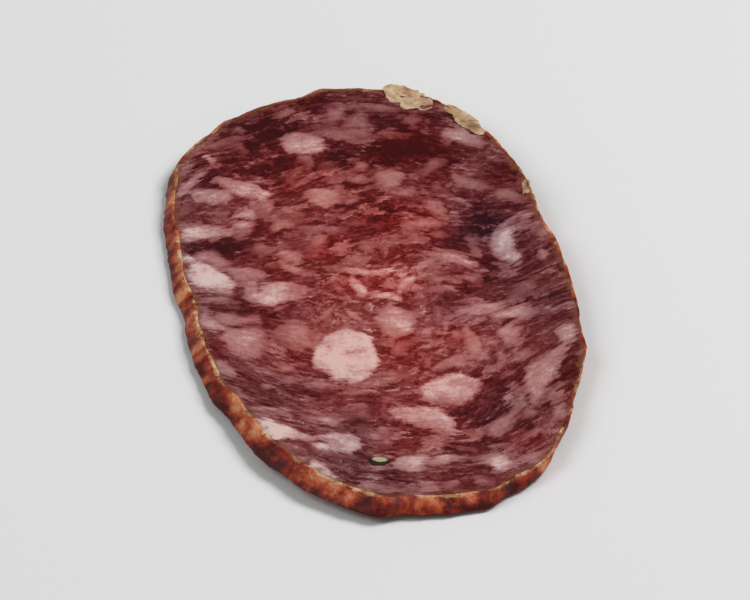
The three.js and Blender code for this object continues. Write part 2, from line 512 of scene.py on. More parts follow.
    patches: tuple[ColourPatch, ...] = (
        ColourPatch(-9, 36.6, 4.5, -0.5),
        ColourPatch(-5.5, 38.8, 3, -0.4),
        ColourPatch(0, 43.4, 2.4, -0.4),
        ColourPatch(11, 33.6, 4.5, -0.75, 0.3),
        ColourPatch(7.6, 31.8, 3, -0.4, 0.1),
        ColourPatch(15.4, 28, 2.6, -0.6, 0.2),
        ColourPatch(1.5, 31.4, 1.6, -0.3, 0, 0.3),
        ColourPatch(-16.4, 30.6, 3.6, -0.8, 0, 0.3),
        ColourPatch(-7.6, 27, 2.6, -0.4, 0.3),
        ColourPatch(4.6, 20.4, 3.4, -0.35, 0.2),
        ColourPatch(-17, 14.6, 3.2, -0.95, 0, 0.4),
        ColourPatch(-22.3, 13.8, 1.5, -0.7, 0, 0.8),
        ColourPatch(-12.2, 18.2, 1.6, -0.4, 0.2),
        ColourPatch(17.4, 13.6, 3.2, -0.6, -0.3, 0.9),
        ColourPatch(19.4, 11.8, 1.6, -0.6, -0.3, 0.9),
        ColourPatch(15.4, 11, 2.4, -0.2, -0.2, 0.8),
        ColourPatch(-18.4, 0.4, 3, -0.5, 0, 0.3),
        ColourPatch(-13.6, -2, 4.2, -0.45, 0.1, 0.1),
        ColourPatch(-11.4, 8, 2.2, -0.4, 0.2),
        ColourPatch(22.6, 23.4, 2.4, -0.6, 0.3),
        ColourPatch(13.4, -0.4, 2.4, -0.3, 0.2),
        ColourPatch(-15, -17.4, 5.4, -0.15, -0.2, 0.5),
        ColourPatch(-16.6, -22, 2, -0.5, 0, 0.3),
        ColourPatch(-9, -29, 3.6, -0.2, -0.2, 0.5),
        ColourPatch(-9.4, -37, 3.4, -0.25, -0.2, 0.5),
        ColourPatch(13, -26.6, 4.6, -0.3, -0.1, 0.4),
        ColourPatch(8, -29.4, 2.6, -0.35, 0, 0.2),
        ColourPatch(8, -34, 3.2, -0.35, 0.2),
        ColourPatch(5.4, -36.4, 2.4, -0.35, 0.2),
        ColourPatch(21.4, -27, 1.8, -0.3, 0.6, -0.3),
        ColourPatch(22, -7, 3.4, -0.25, -0.2, 0.6),
        ColourPatch(14, -32.6, 1.5, -0.8, 0, 0.2),
        ColourPatch(-5, -41.2, 3, -0.2, -0.1, 0.5),
        ColourPatch(-14.6, -10.4, 2.2, -0.3, 0, 0.1),
        ColourPatch(17, -1, 4, -0.15, -0.2, 0.5),
        ColourPatch(-3, 12.6, 1.7, -0.3, 1.2, -0.2),
        ColourPatch(-5, 10.2, 1.5, -0.3, 1, -0.2),
        ColourPatch(3.2, 3, 3.8, 0.18, 0.7, -0.3),
        ColourPatch(-2.6, 3, 2.4, 0, 0.7),
        ColourPatch(1.6, -11, 2.2, -0.05, 0.6),
        ColourPatch(4, 17, 3.6, -0.1, 0.4),
        ColourPatch(-1, 28.4, 1.2, 0, 0.7),
        ColourPatch(2, -15, 3.6, -0.1, 0.3, -0.1),
        ColourPatch(0, -33.6, 3, 0, 0.3, -0.2),
        ColourPatch(9, -12, 3.2, -0.15, 0.4, -0.2),
        ColourPatch(-8, 38, 10, -0.2, 0.3),
        ColourPatch(12, 33, 7, -0.15),
        ColourPatch(-20, 6, 8, 0.22),
        ColourPatch(0, -2, 12, 0.3),
        ColourPatch(-16, -29, 8, 0.48),
        ColourPatch(7, -15, 8, 0.26),
        ColourPatch(18, 4, 6, -0.5, 0, 0.1),
        ColourPatch(19.4, 7, 3, 0.3, -0.3, 0.5),
        ColourPatch(19, -22, 5, -0.42, 0, 0.1),
        ColourPatch(17, -33, 5, 0.45, 0.2),
        ColourPatch(-7, -12, 6.5, 0.2),
        ColourPatch(1, -22, 4, 0.2),
        ColourPatch(1.8, 2.6, 2, -0.3, 1.6, -0.2),
        ColourPatch(-15, -17, 6, -0.08),
        ColourPatch(8, -41, 6, 0.2),
        ColourPatch(13, -32, 7, -0.08),
        ColourPatch(2, 30, 8, -0.1),
        ColourPatch(-14, 24, 6, 0.12),
        ColourPatch(9, 10.4, 3.4, -0.1, 0.2, -0.1),
        ColourPatch(-13, -13, 3, -0.1, 0.3),
        ColourPatch(2.4, -42.6, 3, 0, 0.2, -0.1),
        ColourPatch(12.6, -36.4, 3, -0.1, 0.5, -0.2),
        ColourPatch(12, -21, 3, -0.05, 0, 0.1),
        ColourPatch(-22.4, -9, 2, -0.3, 0.4, -0.3),
        ColourPatch(21, 20.6, 2, -0.3, 0.2),
        ColourPatch(-8.4, 31.6, 3, -0.1, 0.1, 0.1),
        ColourPatch(4.6, 9, 2, -0.25, 0.3),
        ColourPatch(8.8, 18, 3, -0.1, 0.3, -0.1),
    )

    # Smaller pieces of fat: how many are tried, their least and greatest length, and how much room they
    # keep, as a share of their size
    tries: int = 400
    least: float = 1.8
    most: float = 4.0
    apart: float = 0.8

    # How far the strands turn to follow the rim, in degrees, and the square millimetres over which a long
    # piece of fat sways them
    wrap: float = 48.0
    sway_area: float = 34.0

    # Tone of the middling lean and fat, from 0 to 1, and how strongly patches and paleness change it
    light_gain: float = 1.12
    lean_base: float = 0.385
    lean_light: float = 0.42
    fat_base: float = 0.465
    fat_light: float = 0.16
    pale_gain: float = 0.34
    red_gain: float = 0.85

    # Filled in below: every piece of fat, and every field by its name
    lumps: list[FatLump] = field(default_factory=list)
    fields: dict[str, np.ndarray] = field(default_factory=dict)

    def __post_init__(self) -> None:
        """Work out every field on the board, by the name that the mesh keeps it under."""
        board = self.board
        patches = [(patch, self.fade(patch)) for patch in self.patches]
        self.light = self.light_gain * sum(patch.light * fade for patch, fade in patches)
        self.turn = self.strands()
        for lump in self.large:
            self.lumps.append(replace(lump, long=lump.long * self.grow, wide=lump.wide * self.grow))
        self.scatter()
        fat, pale = self.measure()
        share = self.form.share(board.x, board.y)
        red = 1 - smooth_step(share + 0.06 * board.noise(5, 27), 0.35, 1.0)
        red = self.red_gain * red + sum(patch.red * fade for patch, fade in patches)
        # Grey: the lean greys towards the rim as it dries, and the grey that the patches add is partly
        # painted sheen, lavender where moist lean would mirror the sky
        grey = 0.1 * smooth_step(share, 0.6, 1) + 0.15 * board.noise(5, 28)
        grey = grey + sum(patch.grey * fade for patch, fade in patches)
        self.fields = {
            "fat": fat,
            "fat_tone": self.fat_tone(fat, pale),
            "tone": self.lean_tone(),
            "smear": self.smear(),
            "along": board.grown_along(np.cos(self.turn), np.sin(self.turn)),
            "across": board.grown_along(-np.sin(self.turn), np.cos(self.turn)),
            "red": np.clip(red, 0, 1.5),
            "grey": np.clip(grey, 0, 1),
        }

    def lean_tone(self) -> np.ndarray:
        """Return the lean's own tone in each cell."""
        mottle = 0.03 * self.board.noise(9, 29) + 0.03 * self.board.noise(3.4, 20)
        return self.lean_base + mottle + self.lean_light * self.light

    def fat_tone(self, fat: np.ndarray, pale: np.ndarray) -> np.ndarray:
        """Return the fat's own tone in each cell.

        Args:
            fat: depth inside the fat.
            pale: the paleness of the piece.

        Returns:
            The tone, lighter in the middle of a piece.
        """
        mottle = 0.03 * self.board.noise(1.2, 26) + 0.045 * self.board.noise(2.6, 25)
        heart = 0.1 * smooth_step(fat, 0, 0.9) + 0.06 * smooth_step(fat, 0.8, 2.6)
        return self.fat_base + self.pale_gain * pale + mottle + self.fat_light * self.light + heart

    def smear(self) -> np.ndarray:
        """Work out how readily fat smears through the lean.

        Returns:
            A field that is low where the lean is dark, so that hardly any fat shows there.
        """
        board = self.board
        streaks = 0.6 * board.smeared(board.noise(1.1, 23), 4.0, self.turn)
        streaks = streaks + 0.5 * board.smeared(board.noise(1.5, 21), 3.0, self.turn)
        return streaks + 0.4 * board.noise(2.8, 24) + 1.2 * np.minimum(self.light, 0)

    def fade(self, patch: ColourPatch) -> np.ndarray:
        """Return a patch's strength: 1 in its middle, fading to 0."""
        away = (self.board.x - patch.x) ** 2 + (self.board.y - patch.y) ** 2
        return np.exp(-away / patch.radius**2)

    def strands(self) -> np.ndarray:
        """Find the strands' direction: across the slice, bent along the rim, swayed by long pieces of fat.

        Returns:
            The direction in each cell, in radians from X.
        """
        u, v = self.board.x / self.form.half_width, self.board.y / self.form.half_length
        curved = -2 * math.radians(self.wrap) * np.clip(2 * u * v, -1, 1)
        across, along = 0.5 * np.cos(curved), 0.5 * np.sin(curved)
        for lump in self.large:
            away = (self.board.x - lump.x) ** 2 + (self.board.y - lump.y) ** 2
            pull = np.exp(-away / self.sway_area) * min(lump.long / lump.wide - 1, 1.5) * lump.wide / 3
            across += pull * math.cos(math.radians(2 * lump.turn))
            along += pull * math.sin(math.radians(2 * lump.turn))
        return 0.5 * np.arctan2(along, np.maximum(across, 0.15))

    def scatter(self) -> None:
        """Draw the smaller pieces of fat between the large ones, lying along the strands."""
        draw = np.random.default_rng(self.seed)
        for _ in range(self.tries):
            x = draw.uniform(-self.form.half_width, self.form.half_width)
            y = draw.uniform(-self.form.half_length, self.form.half_length)
            long = self.least + (self.most - self.least) * draw.random() ** 1.4
            wide = long * draw.uniform(0.4, 0.75)
            sway, pale, bend = draw.normal(0, 18), draw.uniform(0, 0.5), draw.normal(0, 0.2)
            row, column = self.board.cells(np.array([x]), np.array([y]))
            in_the_dark = draw.random() < -2.5 * self.light[row, column][0]
            if not in_the_dark and self.has_room(x, y, long + wide):
                turn = math.degrees(self.turn[row, column][0]) + sway
                self.lumps.append(FatLump(x, y, long, wide, turn, pale, bend))

    def has_room(self, x: float, y: float, size: float) -> bool:
        """Tell whether a new piece of fat fits between the others.

        Args:
            x: its centre across the slice.
            y: its centre along it.
            size: its length and width together.

        Returns:
            Whether it keeps apart from every other piece.
        """
        room = self.apart * size / 4
        return all(
            math.hypot(x - other.x, y - other.y) > room + self.apart * (other.long + other.wide) / 4
            for other in self.lumps
        )

    def measure(self) -> tuple[np.ndarray, np.ndarray]:
        """Measure the fat in each cell, the larger pieces first.

        Returns:
            How deep inside a piece of fat each cell is, below 0 in the lean, and that piece's paleness.
        """
        board = self.board
        warped_x = board.x + 0.5 * board.noise(3.6, 5) + 0.12 * board.noise(1.4, 6)
        warped_y = board.y + 0.5 * board.noise(3.6, 7) + 0.12 * board.noise(1.4, 8)
        deepest = np.full(board.x.shape, -self.far)
        pale = np.full(board.x.shape, 0.4)
        draw = np.random.default_rng(self.seed + 2)
        for lump in sorted(self.lumps, key=lambda lump: lump.long * lump.wide, reverse=True):
            phases = draw.uniform(0, math.tau, 2)
            reach = lump.long + self.far
            window = np.ix_(np.abs(board.near - lump.y) < reach, np.abs(board.left - lump.x) < reach)
            depth = self.depth_inside(lump, warped_x[window] - lump.x, warped_y[window] - lump.y, phases)
            depth = np.minimum(depth, -deepest[window] - self.gap)
            over = depth > deepest[window]
            deepest[window] = np.where(over, depth, deepest[window])
            pale[window] = np.where(over, lump.pale, pale[window])
        return deepest, pale

    @staticmethod
    def depth_inside(lump: FatLump, dx: np.ndarray, dy: np.ndarray, phases: np.ndarray) -> np.ndarray:
        """Measure how deep inside one piece of fat each place is.

        Args:
            lump: the piece, a lens or a teardrop.
            dx: how far each place is from its centre, across the slice.
            dy: how far it is along the slice.
            phases: two angles that tell its shape from the others'.

        Returns:
            The depth in millimetres, below 0 outside.
        """
        turn = math.radians(lump.turn)
        along = (dx * math.cos(turn) + dy * math.sin(turn)) / (lump.long / 2)
        across = (dy * math.cos(turn) - dx * math.sin(turn)) / (lump.wide / 2)
        across = across - lump.bend * (along**2 - 0.4) * lump.long / lump.wide
        pointed = min(0.25 * (lump.long / lump.wide - 1), 0.4)
        across = across * (1 + pointed * along**2 + min(pointed, 0.3) * math.cos(phases[0]) * along)
        edge = 1 + 0.05 * np.cos(3 * np.arctan2(across, along) + phases[1])
        return (edge - np.hypot(along, across)) * min(lump.wide, lump.long) / 2


@dataclass
class NodeBench:
    """A new material and its node tree, with one way to add a node."""

    name: str

    def __post_init__(self) -> None:
        """Start from an empty tree."""
        self.material = bpy.data.materials.new(self.name)
        self.material.use_nodes = True
        self.tree = self.material.node_tree
        self.tree.nodes.clear()

    def add(
        self,
        kind: str,
        inputs: dict | None = None,
        stops: list[tuple[float, str]] | None = None,
        **settings: object,
    ) -> bpy.types.Node:
        """Add one node with its settings, values and links.

        Args:
            kind: the node's type in Blender.
            inputs: values, output sockets or nodes, by the input's name or number. A node stands for its
                first output.
            stops: a colour ramp's stops, each a place and a hex colour.
            settings: the node's own properties.

        Returns:
            The new node.
        """
        node = self.tree.nodes.new(kind)
        for name, value in settings.items():
            setattr(node, name, value)
        for key, value in (inputs or {}).items():
            source = value.outputs[0] if isinstance(value, bpy.types.Node) else value
            if isinstance(source, bpy.types.NodeSocket):
                self.tree.links.new(source, node.inputs[key])
            else:
                node.inputs[key].default_value = source
        for index, (position, colour) in enumerate(stops or []):
            elements = node.color_ramp.elements
            element = elements[index] if index < 2 else elements.new(position)
            element.position = position
            element.color = linear(colour)
        return node

    def millimetres(self) -> bpy.types.Node:
        """Return each point's place on the piece, in millimetres."""
        place = self.add("ShaderNodeTexCoord").outputs["Object"]
        return self.add("ShaderNodeVectorMath", {0: place, "Scale": 1 / MM}, operation="SCALE")

    def kept(self, *names: str) -> list[bpy.types.NodeSocket]:
        """Return the numbers that the mesh keeps for each point under these names."""
        return [self.add("ShaderNodeAttribute", attribute_name=name).outputs["Fac"] for name in names]


@dataclass(frozen=True)
class Strands:
    """The noises of the mince: places along and across its strands, and broad, fibrous and even grain."""

    mm: bpy.types.Node
    place: bpy.types.Node
    broad: bpy.types.Node
    fibre: bpy.types.Node
    grain: bpy.types.Node


@dataclass(frozen=True)
class MarbledMeat:
    """Cured pork, minced coarsely with back fat and cut with a knife.

    The lean is dark red to purple-brown and slightly greasy. The fat is paler and smoother, and lets a
    little light in.
    """

    name: str = "marbled_cured_pork"

    # Tones of the same depth, from the darkest lean to the palest fat
    places: tuple[float, ...] = (0.0, 0.16, 0.33, 0.5, 0.66, 0.82, 1.0)
    rim: tuple[str, ...] = ("#380306", "#521013", "#692729", "#7e4243", "#96605f", "#b18280", "#dcc0bb")
    heart: tuple[str, ...] = ("#420203", "#5a090a", "#731c1a", "#8c3835", "#a75953", "#c07b74", "#e2b9b1")
    fresh: tuple[str, ...] = ("#420102", "#640808", "#861412", "#a02e2b", "#b8534f", "#ca7c76", "#e2aea6")
    # The grey hues are lavender: partly the lean's own greying, partly painted sheen
    grey: tuple[str, ...] = ("#200912", "#36121c", "#4f2730", "#6b434a", "#86636a", "#a1848b", "#cdbdc0")
    dried_rim: str = "#7a4a30"

    # Chunks of the mince: their scale along and across the strands, for lengths of about 3 and 1.5 mm
    chunks: tuple[tuple[float, float, float], ...] = ((0.3, 0.76, 1.0), (0.68, 1.75, 1.0))
    chunk_swing: float = 0.28
    seam_depth: float = 0.09

    def build(self) -> bpy.types.Material:
        """Make the material.

        Returns:
            The finished material.
        """
        bench = NodeBench(self.name)
        add = bench.add
        strands = self.strands(bench)
        lean, draw, seam = self.minced(bench, strands)
        lean = self.smeared(bench, strands, self.threaded(bench, strands, lean), draw)
        tone, fat_mask = self.fatted(bench, strands, lean, seam)
        colour = self.coloured(bench, strands, tone)

        # Relief finer than the mesh: muscle fibre in the lean, and the knife's drag over all
        fibre_share = add("ShaderNodeMapRange", {0: fat_mask, 3: 1.0, 4: 0.25})
        height = add("ShaderNodeMath", {0: strands.fibre, 1: fibre_share}, operation="MULTIPLY")
        height = add("ShaderNodeMath", {0: strands.grain, 1: 0.6, 2: height}, operation="MULTIPLY_ADD")
        bump = add("ShaderNodeBump", {"Strength": 0.5, "Distance": 0.14 * MM, "Height": height})
        roughness = add("ShaderNodeMapRange", {0: strands.grain, 1: 0.3, 2: 0.7, 3: 0.52, 4: 0.38})
        shader = add(
            "ShaderNodeBsdfPrincipled",
            {
                "Base Color": colour,
                "Roughness": roughness,
                "Normal": bump,
                "IOR": 1.42,
                "Specular IOR Level": 0.18,
                "Subsurface Weight": 0.1,
                "Subsurface Radius": (1.0, 0.4, 0.3),
                "Subsurface Scale": 0.5 * MM,
            },
        )
        add("ShaderNodeOutputMaterial", {"Surface": shader})
        return bench.material

    def strands(self, bench: NodeBench) -> Strands:
        """Draw the strands of muscle and fat out the way the mincer pushed them.

        Args:
            bench: the material's bench.

        Returns:
            The noises that the other methods share.
        """
        # Strands are about 3 mm long and 1.4 wide, fibres 1.7 long and 0.5 wide, and grains 0.7 across.
        add = bench.add
        mm = bench.millimetres()
        along, across = bench.kept("along", "across")
        place = add("ShaderNodeCombineXYZ", {0: along, 1: across})
        wide = add("ShaderNodeMapping", {"Vector": place, "Scale": (0.3, 0.7, 1.0)})
        fine = add("ShaderNodeMapping", {"Vector": place, "Scale": (0.6, 1.9, 1.0)})
        broad = add("ShaderNodeTexNoise", {"Vector": wide, "Scale": 1.0, "Detail": 4.0, "Roughness": 0.6})
        fibre = add("ShaderNodeTexNoise", {"Vector": fine, "Scale": 1.0, "Detail": 7.0, "Roughness": 0.66})
        grain = add("ShaderNodeTexNoise", {"Vector": mm, "Scale": 1.4, "Detail": 7.0, "Roughness": 0.65})
        return Strands(mm, place, broad, fibre, grain)

    def minced(
        self, bench: NodeBench, strands: Strands
    ) -> tuple[bpy.types.Node, bpy.types.Node, bpy.types.Node]:
        """Make the lean: fibrous, and broken into chunks that each have a tone and a darker seam.

        Args:
            bench: the material's bench.
            strands: the noises of the mince.

        Returns:
            The lean's tone, and the smaller chunks' draws and seams.
        """
        add = bench.add
        (tone,) = bench.kept("tone")
        lean = add("ShaderNodeMath", {0: strands.fibre, 1: 0.68, 2: tone}, operation="MULTIPLY_ADD")
        lean = add("ShaderNodeMath", {0: strands.broad, 1: 0.35, 2: lean}, operation="MULTIPLY_ADD")
        lean = add("ShaderNodeMath", {0: lean, 1: -0.51}, operation="ADD")

        # The chunks' edges are bent by up to a millimetre, because the mincer tears more than it cuts
        wobble = add("ShaderNodeTexNoise", {"Vector": strands.mm, "Scale": 0.9, "Detail": 3.0})
        colour = wobble.outputs["Color"]
        centred = add("ShaderNodeVectorMath", {0: colour, 1: (0.5, 0.5, 0.5)}, operation="SUBTRACT")
        bend = add("ShaderNodeVectorMath", {0: centred, "Scale": 2.4}, operation="SCALE")
        torn = add("ShaderNodeVectorMath", {0: strands.place, 1: bend}, operation="ADD")
        for scale in self.chunks:
            place = add("ShaderNodeMapping", {"Vector": torn, "Scale": scale})
            chunk = add("ShaderNodeTexVoronoi", {"Vector": place, "Scale": 1.0}).outputs["Color"]
            draw = add("ShaderNodeSeparateColor", {0: chunk})
            edge = add("ShaderNodeTexVoronoi", {"Vector": place, "Scale": 1.0}, feature="DISTANCE_TO_EDGE")
            seam = add("ShaderNodeMapRange", {0: edge, 2: 0.09, 3: -self.seam_depth, 4: 0.0})
            lean = add("ShaderNodeMath", {0: draw, 1: self.chunk_swing, 2: lean}, operation="MULTIPLY_ADD")
            lean = add("ShaderNodeMath", {0: lean, 1: -self.chunk_swing / 2}, operation="ADD")
            lean = add("ShaderNodeMath", {0: lean, 1: seam}, operation="ADD")
        return lean, draw, seam

    def threaded(self, bench: NodeBench, strands: Strands, lean: bpy.types.Node) -> bpy.types.Node:
        """Lay pale threads of sinew through the lean.

        Args:
            bench: the material's bench.
            strands: the noises of the mince.
            lean: the lean's tone.

        Returns:
            The lean's tone with its threads.
        """
        # A thread is about 6 mm long and follows the strands, and it shows only where the fibre is pale.
        add = bench.add
        long = {"Vector": strands.place, "Scale": (0.16, 0.5, 1.0), "Location": (7, 3, 0)}
        place = add("ShaderNodeMapping", long)
        noise = add("ShaderNodeTexNoise", {"Vector": place, "Scale": 1.0, "Detail": 5.0})
        off_line = add("ShaderNodeMath", {0: noise, 1: -0.5}, operation="ADD")
        off_line = add("ShaderNodeMath", {0: off_line}, operation="ABSOLUTE")
        thread = add("ShaderNodeMapRange", {0: off_line, 1: 0.0, 2: 0.022, 3: 1.0, 4: 0.0})
        strength = add("ShaderNodeMapRange", {0: strands.fibre, 1: 0.42, 2: 0.6, 3: 0.0, 4: 0.28})
        return add("ShaderNodeMath", {0: thread, 1: strength, 2: lean}, operation="MULTIPLY_ADD")

    def smeared(
        self, bench: NodeBench, strands: Strands, lean: bpy.types.Node, draw: bpy.types.Node
    ) -> bpy.types.Node:
        """Smear fat through the lean, as the mincer does.

        Args:
            bench: the material's bench.
            strands: the noises of the mince.
            lean: the lean's tone.
            draw: each small chunk's own number.

        Returns:
            The lean's tone with the smears in it.
        """
        add = bench.add
        (smear,) = bench.kept("smear")
        reach = add("ShaderNodeMath", {0: strands.fibre, 1: 4.0, 2: smear}, operation="MULTIPLY_ADD")
        reach = add("ShaderNodeMath", {0: strands.broad, 1: 2.0, 2: reach}, operation="MULTIPLY_ADD")
        edge = {0: reach, 1: 3.3, 2: 3.9, 4: 0.85}
        mask = add("ShaderNodeMapRange", edge, interpolation_type="SMOOTHSTEP")
        tone = add("ShaderNodeMapRange", {0: draw, 1: 0.0, 2: 1.0, 3: 0.56, 4: 0.82})
        return add("ShaderNodeMix", {0: mask, 2: lean, 3: tone})

    def fatted(
        self, bench: NodeBench, strands: Strands, lean: bpy.types.Node, seam: bpy.types.Node
    ) -> tuple[bpy.types.Node, bpy.types.Node]:
        """Set the pieces of fat in the lean, where the mesh says that they lie.

        Noises finer than the mesh roughen their edges.

        Args:
            bench: the material's bench.
            strands: the noises of the mince.
            lean: the lean's tone.
            seam: the smaller chunks' seams.

        Returns:
            The tone of lean and fat together, and the share of fat.
        """
        add = bench.add
        depth, fat_tone = bench.kept("fat", "fat_tone")
        rough = (
            (strands.broad, 0.3, 0.7, 0.5),
            (strands.fibre, 0.25, 0.75, 0.3),
            (strands.grain, 0.25, 0.75, 0.12),
        )
        for noise, low, high, reach in rough:
            nudge = add("ShaderNodeMapRange", {0: noise, 1: low, 2: high, 3: -reach, 4: reach})
            depth = add("ShaderNodeMath", {0: depth, 1: nudge}, operation="ADD")

        # Most of the edge fades over a millimetre and a half, and the rest of it is crisp
        fade = {0: depth, 1: -0.8, 2: 0.7, 4: 0.65}
        soft = add("ShaderNodeMapRange", fade, interpolation_type="SMOOTHSTEP")
        crisp = add("ShaderNodeMapRange", {0: depth, 1: -0.12, 2: 0.12, 4: 0.35})
        mask = add("ShaderNodeMath", {0: soft, 1: crisp}, operation="ADD")

        # The lean is darker right beside the fat, and the fat has pale grey veins of its own
        beside = add("ShaderNodeMapRange", {0: depth, 1: -0.6, 2: -0.15, 3: 0.0, 4: -0.1})
        lean = add("ShaderNodeMath", {0: lean, 1: beside}, operation="ADD")
        veined = add("ShaderNodeMath", {0: strands.fibre, 1: 0.34, 2: fat_tone}, operation="MULTIPLY_ADD")
        veined = add("ShaderNodeMath", {0: seam, 1: 0.8, 2: veined}, operation="MULTIPLY_ADD")
        veined = add("ShaderNodeMath", {0: veined, 1: -0.15}, operation="ADD")
        tone = add("ShaderNodeMix", {0: mask, 2: lean, 3: veined})
        tone = add("ShaderNodeMath", {0: strands.grain, 1: 0.34, 2: tone}, operation="MULTIPLY_ADD")
        return add("ShaderNodeMath", {0: tone, 1: -0.17}, operation="ADD"), mask

    def coloured(self, bench: NodeBench, strands: Strands, tone: bpy.types.Node) -> bpy.types.NodeSocket:
        """Colour the one scale of tones in four hues: rim, redder heart, freshly red, and grey, which is
        partly greying by drying and partly painted sheen.

        Args:
            bench: the material's bench.
            strands: the noises of the mince.
            tone: the tone of lean and fat together.

        Returns:
            The meat's colour, dried to brown in the outermost half millimetre or so.
        """
        add = bench.add
        red, grey, rim = bench.kept("red", "grey", "rim")
        heart_share = add("ShaderNodeMapRange", {0: red})
        fresh_share = add("ShaderNodeMapRange", {0: red, 1: 1.0, 2: 2.0})
        # Lavender grey: partly greying by drying, partly painted sheen
        grey_and_sheen_share = add("ShaderNodeMath", {0: grey, 1: 0.6}, operation="MULTIPLY")
        colour = add("ShaderNodeValToRGB", {0: tone}, list(zip(self.places, self.rim))).outputs[0]
        for share, hues in ((heart_share, self.heart), (fresh_share, self.fresh), (grey_and_sheen_share, self.grey)):
            hue = add("ShaderNodeValToRGB", {0: tone}, list(zip(self.places, hues)))
            colour = add("ShaderNodeMix", {0: share, 6: colour, 7: hue}, data_type="RGBA").outputs[2]
        ragged = {"Vector": strands.mm, "Scale": 0.8, "Detail": 5.0, "Roughness": 0.65}
        noise = add("ShaderNodeTexNoise", ragged)
        edge = add("ShaderNodeMath", {0: noise, 1: -4.0, 2: rim}, operation="MULTIPLY_ADD")
        dried = add("ShaderNodeMapRange", {0: edge, 1: -1.7, 2: -1.1, 3: 0.7, 4: 0.0})
        layers = {0: dried, 6: colour, 7: linear(self.dried_rim)}
        return add("ShaderNodeMix", layers, data_type="RGBA").outputs[2]


@dataclass(frozen=True)
class DriedCasing:
    """Natural gut casing, dried on to the meat: rust to amber, slightly glossy, paler over fat, and with a
    pale lip that is partly painted highlight.
    """

    name: str = "dried_natural_casing"
    wall_tones: tuple[str, ...] = ("#4c0d08", "#8a2713", "#b44f2b", "#d9966a")
    lip_and_highlight_tones: tuple[str, ...] = ("#6e3820", "#ac7548", "#dab690")
    speck: str = "#2b0f06"

    def build(self) -> bpy.types.Material:
        """Make the material.

        Returns:
            The finished material.
        """
        bench = NodeBench(self.name)
        add = bench.add
        mm = bench.millimetres()
        fat, level = bench.kept("fat", "level")

        # The wall: blotches of 1.7 mm, paler where fat lies behind it, in zones of 7 mm, darker at its foot
        blotch = add("ShaderNodeTexNoise", {"Vector": mm, "Scale": 0.6, "Detail": 6.0, "Roughness": 0.68})
        behind = add("ShaderNodeMapRange", {0: fat, 1: -0.7, 2: 0.6, 3: 0.0, 4: 0.28})
        stretch = add("ShaderNodeTexNoise", {"Vector": mm, "Scale": 0.14, "Detail": 2.0})
        zone = add("ShaderNodeMapRange", {0: stretch, 1: 0.35, 2: 0.65, 3: -0.14, 4: 0.08})
        foot = add("ShaderNodeMapRange", {0: level, 1: 0.0, 2: 0.8, 3: -0.07, 4: 0.03})
        tone = blotch
        for change in (behind, zone, foot):
            tone = add("ShaderNodeMath", {0: tone, 1: change}, operation="ADD")
        wall = add("ShaderNodeValToRGB", {0: tone}, list(zip((0.36, 0.5, 0.64, 0.86), self.wall_tones)))

        # The lip that the knife left, paler, in patches of 3 mm: partly the dried lip's own tan, partly
        # painted highlight on its top edge
        lip_noise = add("ShaderNodeTexNoise", {"Vector": mm, "Scale": 0.9, "Detail": 5.0, "Roughness": 0.7})
        lip_tone = add("ShaderNodeMath", {0: lip_noise, 1: behind}, operation="ADD")
        lip = add("ShaderNodeValToRGB", {0: lip_tone}, list(zip((0.38, 0.52, 0.72), self.lip_and_highlight_tones)))
        patchy = add("ShaderNodeTexNoise", {"Vector": mm, "Scale": 0.35, "Detail": 4.0, "Roughness": 0.6})
        lip_edge = add("ShaderNodeMath", {0: patchy, 1: 0.9, 2: level}, operation="MULTIPLY_ADD")
        lip_share = add("ShaderNodeMapRange", {0: lip_edge, 1: 1.45, 2: 1.55})
        colour = add("ShaderNodeMix", {0: lip_share, 6: wall, 7: lip}, data_type="RGBA").outputs[2]

        # Dark specks in the skin's grain of half a millimetre
        grain = add("ShaderNodeTexNoise", {"Vector": mm, "Scale": 1.9, "Detail": 4.0, "Roughness": 0.7})
        specks = add("ShaderNodeMapRange", {0: grain, 1: 0.34, 2: 0.42, 3: 0.7, 4: 0.0})
        layers = {0: specks, 6: colour, 7: linear(self.speck)}
        colour = add("ShaderNodeMix", layers, data_type="RGBA").outputs[2]
        bump = add("ShaderNodeBump", {"Strength": 0.6, "Distance": 0.15 * MM, "Height": grain})
        shader = add(
            "ShaderNodeBsdfPrincipled",
            {
                "Base Color": colour,
                "Roughness": 0.45,
                "Normal": bump,
                "IOR": 1.45,
                "Specular IOR Level": 0.25,
                "Subsurface Weight": 0.25,
                "Subsurface Radius": (1.0, 0.4, 0.15),
                "Subsurface Scale": 0.6 * MM,
            },
        )
        add("ShaderNodeOutputMaterial", {"Surface": shader})
        return bench.material


@dataclass(frozen=True)
class TornCasing:
    """A loose shred of gut casing, dried cream and thin, with no meat behind it."""

    name: str = "loose_dried_casing"
    tones: tuple[str, ...] = ("#855a3c", "#bb9874", "#d6bf9f")

    def build(self) -> bpy.types.Material:
        """Make the material.

        Returns:
            The finished material.
        """
        bench = NodeBench(self.name)
        add = bench.add
        mm = bench.millimetres()
        blotch = add("ShaderNodeTexNoise", {"Vector": mm, "Scale": 0.45, "Detail": 5.0, "Roughness": 0.6})
        colour = add("ShaderNodeValToRGB", {0: blotch}, list(zip((0.36, 0.5, 0.62), self.tones)))
        bump = add("ShaderNodeBump", {"Strength": 0.5, "Distance": 0.1 * MM, "Height": blotch})
        shader = add(
            "ShaderNodeBsdfPrincipled",
            {
                "Base Color": colour,
                "Roughness": 0.5,
                "Normal": bump,
                "Subsurface Weight": 0.3,
                "Subsurface Radius": (1.0, 0.7, 0.4),
                "Subsurface Scale": 0.5 * MM,
            },
        )
        add("ShaderNodeOutputMaterial", {"Surface": shader})
        return bench.material


